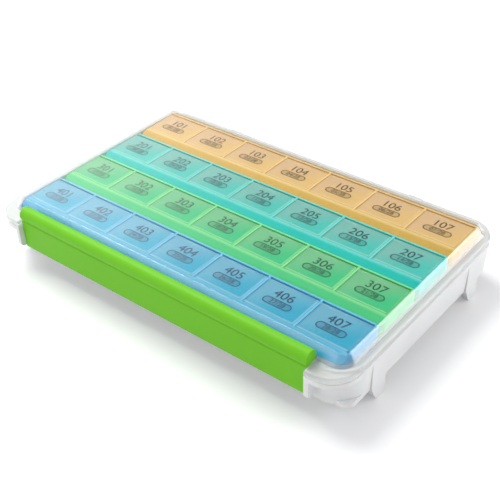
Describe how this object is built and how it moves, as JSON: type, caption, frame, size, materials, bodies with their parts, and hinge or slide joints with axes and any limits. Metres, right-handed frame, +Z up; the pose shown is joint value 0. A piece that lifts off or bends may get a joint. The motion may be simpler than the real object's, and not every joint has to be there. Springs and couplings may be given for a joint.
{
  "type": "monthly pill organizer",
  "caption": "Footed tray with a clear hinged cover and a full-width hinged latch, holding lift-out weekly boxes with translucent flip-lid compartments.",
  "frame": {"origin": "centre of the footprint, on the surface that the feet stand on", "axes": "+X along the seven columns, +Y from the latch to the rear hinge, +Z up"},
  "size_m": [0.2178, 0.1418, 0.0347],
  "materials": {
    "frosted_plastic": "translucent frosted moulded polypropylene",
    "clear_plastic": "clear glossy moulded plastic",
    "latch_green_plastic": "satin opaque moulded plastic",
    "amber_box_plastic": "glossy translucent tinted plastic",
    "amber_lid_plastic": "glossy see-through tinted plastic",
    "turquoise_box_plastic": "glossy translucent tinted plastic",
    "turquoise_lid_plastic": "glossy see-through tinted plastic",
    "green_box_plastic": "glossy translucent tinted plastic",
    "green_lid_plastic": "glossy see-through tinted plastic",
    "blue_box_plastic": "glossy translucent tinted plastic",
    "blue_lid_plastic": "glossy see-through tinted plastic"
  },
  "bodies": {
    "tray": {"case_tray": "frosted_plastic"},
    "cover": {"case_lid": "clear_plastic"},
    "latch": {"latch_bar": "latch_green_plastic"},
    "week_1": {"week_1_box": "amber_box_plastic"},
    "week_1_lid_1": {"week_1_lid_1": "amber_lid_plastic"},
    "week_1_lid_2": {"week_1_lid_2": "amber_lid_plastic"},
    "week_1_lid_3": {"week_1_lid_3": "amber_lid_plastic"},
    "week_1_lid_4": {"week_1_lid_4": "amber_lid_plastic"},
    "week_1_lid_5": {"week_1_lid_5": "amber_lid_plastic"},
    "week_1_lid_6": {"week_1_lid_6": "amber_lid_plastic"},
    "week_1_lid_7": {"week_1_lid_7": "amber_lid_plastic"},
    "week_2": {"week_2_box": "turquoise_box_plastic"},
    "week_2_lid_1": {"week_2_lid_1": "turquoise_lid_plastic"},
    "week_2_lid_2": {"week_2_lid_2": "turquoise_lid_plastic"},
    "week_2_lid_3": {"week_2_lid_3": "turquoise_lid_plastic"},
    "week_2_lid_4": {"week_2_lid_4": "turquoise_lid_plastic"},
    "week_2_lid_5": {"week_2_lid_5": "turquoise_lid_plastic"},
    "week_2_lid_6": {"week_2_lid_6": "turquoise_lid_plastic"},
    "week_2_lid_7": {"week_2_lid_7": "turquoise_lid_plastic"},
    "week_3": {"week_3_box": "green_box_plastic"},
    "week_3_lid_1": {"week_3_lid_1": "green_lid_plastic"},
    "week_3_lid_2": {"week_3_lid_2": "green_lid_plastic"},
    "week_3_lid_3": {"week_3_lid_3": "green_lid_plastic"},
    "week_3_lid_4": {"week_3_lid_4": "green_lid_plastic"},
    "week_3_lid_5": {"week_3_lid_5": "green_lid_plastic"},
    "week_3_lid_6": {"week_3_lid_6": "green_lid_plastic"},
    "week_3_lid_7": {"week_3_lid_7": "green_lid_plastic"},
    "week_4": {"week_4_box": "blue_box_plastic"},
    "week_4_lid_1": {"week_4_lid_1": "blue_lid_plastic"},
    "week_4_lid_2": {"week_4_lid_2": "blue_lid_plastic"},
    "week_4_lid_3": {"week_4_lid_3": "blue_lid_plastic"},
    "week_4_lid_4": {"week_4_lid_4": "blue_lid_plastic"},
    "week_4_lid_5": {"week_4_lid_5": "blue_lid_plastic"},
    "week_4_lid_6": {"week_4_lid_6": "blue_lid_plastic"},
    "week_4_lid_7": {"week_4_lid_7": "blue_lid_plastic"}
  },
  "joints": [
    {"name": "case_lid_hinge", "type": "hinge", "parent": "tray", "child": "cover", "pos_m": [0, 0.0687, 0.0244], "axis": [-1, 0, 0], "range_deg": [0, 180]},
    {"name": "latch_hinge", "type": "hinge", "parent": "cover", "child": "latch", "pos_m": [0, -0.065, 0.031], "axis": [-1, 0, 0], "range_deg": [0, 105]},
    {"name": "week_1_lift", "type": "slide", "parent": "tray", "child": "week_1", "axis": [0, 0, 1], "range_m": [0, 0.01895]},
    {"name": "week_1_lid_1_hinge", "type": "hinge", "parent": "week_1", "child": "week_1_lid_1", "pos_m": [-0.087, 0.05563, 0.0298], "axis": [-1, 0, 0], "range_deg": [0, 110]},
    {"name": "week_1_lid_2_hinge", "type": "hinge", "parent": "week_1", "child": "week_1_lid_2", "pos_m": [-0.058, 0.05563, 0.0298], "axis": [-1, 0, 0], "range_deg": [0, 110]},
    {"name": "week_1_lid_3_hinge", "type": "hinge", "parent": "week_1", "child": "week_1_lid_3", "pos_m": [-0.029, 0.05563, 0.0298], "axis": [-1, 0, 0], "range_deg": [0, 110]},
    {"name": "week_1_lid_4_hinge", "type": "hinge", "parent": "week_1", "child": "week_1_lid_4", "pos_m": [0, 0.05563, 0.0298], "axis": [-1, 0, 0], "range_deg": [0, 110]},
    {"name": "week_1_lid_5_hinge", "type": "hinge", "parent": "week_1", "child": "week_1_lid_5", "pos_m": [0.029, 0.05563, 0.0298], "axis": [-1, 0, 0], "range_deg": [0, 110]},
    {"name": "week_1_lid_6_hinge", "type": "hinge", "parent": "week_1", "child": "week_1_lid_6", "pos_m": [0.058, 0.05563, 0.0298], "axis": [-1, 0, 0], "range_deg": [0, 110]},
    {"name": "week_1_lid_7_hinge", "type": "hinge", "parent": "week_1", "child": "week_1_lid_7", "pos_m": [0.087, 0.05563, 0.0298], "axis": [-1, 0, 0], "range_deg": [0, 110]},
    {"name": "week_2_lift", "type": "slide", "parent": "tray", "child": "week_2", "axis": [0, 0, 1], "range_m": [0, 0.01895]},
    {"name": "week_2_lid_1_hinge", "type": "hinge", "parent": "week_2", "child": "week_2_lid_1", "pos_m": [-0.087, 0.02571, 0.0298], "axis": [-1, 0, 0], "range_deg": [0, 110]},
    {"name": "week_2_lid_2_hinge", "type": "hinge", "parent": "week_2", "child": "week_2_lid_2", "pos_m": [-0.058, 0.02571, 0.0298], "axis": [-1, 0, 0], "range_deg": [0, 110]},
    {"name": "week_2_lid_3_hinge", "type": "hinge", "parent": "week_2", "child": "week_2_lid_3", "pos_m": [-0.029, 0.02571, 0.0298], "axis": [-1, 0, 0], "range_deg": [0, 110]},
    {"name": "week_2_lid_4_hinge", "type": "hinge", "parent": "week_2", "child": "week_2_lid_4", "pos_m": [0, 0.02571, 0.0298], "axis": [-1, 0, 0], "range_deg": [0, 110]},
    {"name": "week_2_lid_5_hinge", "type": "hinge", "parent": "week_2", "child": "week_2_lid_5", "pos_m": [0.029, 0.02571, 0.0298], "axis": [-1, 0, 0], "range_deg": [0, 110]},
    {"name": "week_2_lid_6_hinge", "type": "hinge", "parent": "week_2", "child": "week_2_lid_6", "pos_m": [0.058, 0.02571, 0.0298], "axis": [-1, 0, 0], "range_deg": [0, 110]},
    {"name": "week_2_lid_7_hinge", "type": "hinge", "parent": "week_2", "child": "week_2_lid_7", "pos_m": [0.087, 0.02571, 0.0298], "axis": [-1, 0, 0], "range_deg": [0, 110]},
    {"name": "week_3_lift", "type": "slide", "parent": "tray", "child": "week_3", "axis": [0, 0, 1], "range_m": [0, 0.01895]},
    {"name": "week_3_lid_1_hinge", "type": "hinge", "parent": "week_3", "child": "week_3_lid_1", "pos_m": [-0.087, -0.00421, 0.0298], "axis": [-1, 0, 0], "range_deg": [0, 110]},
    {"name": "week_3_lid_2_hinge", "type": "hinge", "parent": "week_3", "child": "week_3_lid_2", "pos_m": [-0.058, -0.00421, 0.0298], "axis": [-1, 0, 0], "range_deg": [0, 110]},
    {"name": "week_3_lid_3_hinge", "type": "hinge", "parent": "week_3", "child": "week_3_lid_3", "pos_m": [-0.029, -0.00421, 0.0298], "axis": [-1, 0, 0], "range_deg": [0, 110]},
    {"name": "week_3_lid_4_hinge", "type": "hinge", "parent": "week_3", "child": "week_3_lid_4", "pos_m": [0, -0.00421, 0.0298], "axis": [-1, 0, 0], "range_deg": [0, 110]},
    {"name": "week_3_lid_5_hinge", "type": "hinge", "parent": "week_3", "child": "week_3_lid_5", "pos_m": [0.029, -0.00421, 0.0298], "axis": [-1, 0, 0], "range_deg": [0, 110]},
    {"name": "week_3_lid_6_hinge", "type": "hinge", "parent": "week_3", "child": "week_3_lid_6", "pos_m": [0.058, -0.00421, 0.0298], "axis": [-1, 0, 0], "range_deg": [0, 110]},
    {"name": "week_3_lid_7_hinge", "type": "hinge", "parent": "week_3", "child": "week_3_lid_7", "pos_m": [0.087, -0.00421, 0.0298], "axis": [-1, 0, 0], "range_deg": [0, 110]},
    {"name": "week_4_lift", "type": "slide", "parent": "tray", "child": "week_4", "axis": [0, 0, 1], "range_m": [0, 0.01895]},
    {"name": "week_4_lid_1_hinge", "type": "hinge", "parent": "week_4", "child": "week_4_lid_1", "pos_m": [-0.087, -0.03413, 0.0298], "axis": [-1, 0, 0], "range_deg": [0, 110]},
    {"name": "week_4_lid_2_hinge", "type": "hinge", "parent": "week_4", "child": "week_4_lid_2", "pos_m": [-0.058, -0.03413, 0.0298], "axis": [-1, 0, 0], "range_deg": [0, 110]},
    {"name": "week_4_lid_3_hinge", "type": "hinge", "parent": "week_4", "child": "week_4_lid_3", "pos_m": [-0.029, -0.03413, 0.0298], "axis": [-1, 0, 0], "range_deg": [0, 110]},
    {"name": "week_4_lid_4_hinge", "type": "hinge", "parent": "week_4", "child": "week_4_lid_4", "pos_m": [0, -0.03413, 0.0298], "axis": [-1, 0, 0], "range_deg": [0, 110]},
    {"name": "week_4_lid_5_hinge", "type": "hinge", "parent": "week_4", "child": "week_4_lid_5", "pos_m": [0.029, -0.03413, 0.0298], "axis": [-1, 0, 0], "range_deg": [0, 110]},
    {"name": "week_4_lid_6_hinge", "type": "hinge", "parent": "week_4", "child": "week_4_lid_6", "pos_m": [0.058, -0.03413, 0.0298], "axis": [-1, 0, 0], "range_deg": [0, 110]},
    {"name": "week_4_lid_7_hinge", "type": "hinge", "parent": "week_4", "child": "week_4_lid_7", "pos_m": [0.087, -0.03413, 0.0298], "axis": [-1, 0, 0], "range_deg": [0, 110]}
  ],
  "couplings": [
    {"joint": "week_1_lift", "follows": "case_lid_hinge", "m_per_rad": 0.006},
    {"joint": "week_1_lid_1_hinge", "follows": "case_lid_hinge", "ratio": 0.61},
    {"joint": "week_1_lid_2_hinge", "follows": "case_lid_hinge", "ratio": 0.61},
    {"joint": "week_1_lid_3_hinge", "follows": "case_lid_hinge", "ratio": 0.61},
    {"joint": "week_1_lid_4_hinge", "follows": "case_lid_hinge", "ratio": 0.61},
    {"joint": "week_1_lid_5_hinge", "follows": "case_lid_hinge", "ratio": 0.61},
    {"joint": "week_1_lid_6_hinge", "follows": "case_lid_hinge", "ratio": 0.61},
    {"joint": "week_1_lid_7_hinge", "follows": "case_lid_hinge", "ratio": 0.61},
    {"joint": "week_2_lift", "follows": "case_lid_hinge", "m_per_rad": 0.006},
    {"joint": "week_2_lid_1_hinge", "follows": "case_lid_hinge", "ratio": 0.61},
    {"joint": "week_2_lid_2_hinge", "follows": "case_lid_hinge", "ratio": 0.61},
    {"joint": "week_2_lid_3_hinge", "follows": "case_lid_hinge", "ratio": 0.61},
    {"joint": "week_2_lid_4_hinge", "follows": "case_lid_hinge", "ratio": 0.61},
    {"joint": "week_2_lid_5_hinge", "follows": "case_lid_hinge", "ratio": 0.61},
    {"joint": "week_2_lid_6_hinge", "follows": "case_lid_hinge", "ratio": 0.61},
    {"joint": "week_2_lid_7_hinge", "follows": "case_lid_hinge", "ratio": 0.61},
    {"joint": "week_3_lift", "follows": "case_lid_hinge", "m_per_rad": 0.006},
    {"joint": "week_3_lid_1_hinge", "follows": "case_lid_hinge", "ratio": 0.61},
    {"joint": "week_3_lid_2_hinge", "follows": "case_lid_hinge", "ratio": 0.61},
    {"joint": "week_3_lid_3_hinge", "follows": "case_lid_hinge", "ratio": 0.61},
    {"joint": "week_3_lid_4_hinge", "follows": "case_lid_hinge", "ratio": 0.61},
    {"joint": "week_3_lid_5_hinge", "follows": "case_lid_hinge", "ratio": 0.61},
    {"joint": "week_3_lid_6_hinge", "follows": "case_lid_hinge", "ratio": 0.61},
    {"joint": "week_3_lid_7_hinge", "follows": "case_lid_hinge", "ratio": 0.61},
    {"joint": "week_4_lift", "follows": "case_lid_hinge", "m_per_rad": 0.006},
    {"joint": "week_4_lid_1_hinge", "follows": "case_lid_hinge", "ratio": 0.61},
    {"joint": "week_4_lid_2_hinge", "follows": "case_lid_hinge", "ratio": 0.61},
    {"joint": "week_4_lid_3_hinge", "follows": "case_lid_hinge", "ratio": 0.61},
    {"joint": "week_4_lid_4_hinge", "follows": "case_lid_hinge", "ratio": 0.61},
    {"joint": "week_4_lid_5_hinge", "follows": "case_lid_hinge", "ratio": 0.61},
    {"joint": "week_4_lid_6_hinge", "follows": "case_lid_hinge", "ratio": 0.61},
    {"joint": "week_4_lid_7_hinge", "follows": "case_lid_hinge", "ratio": 0.61}
  ]
}
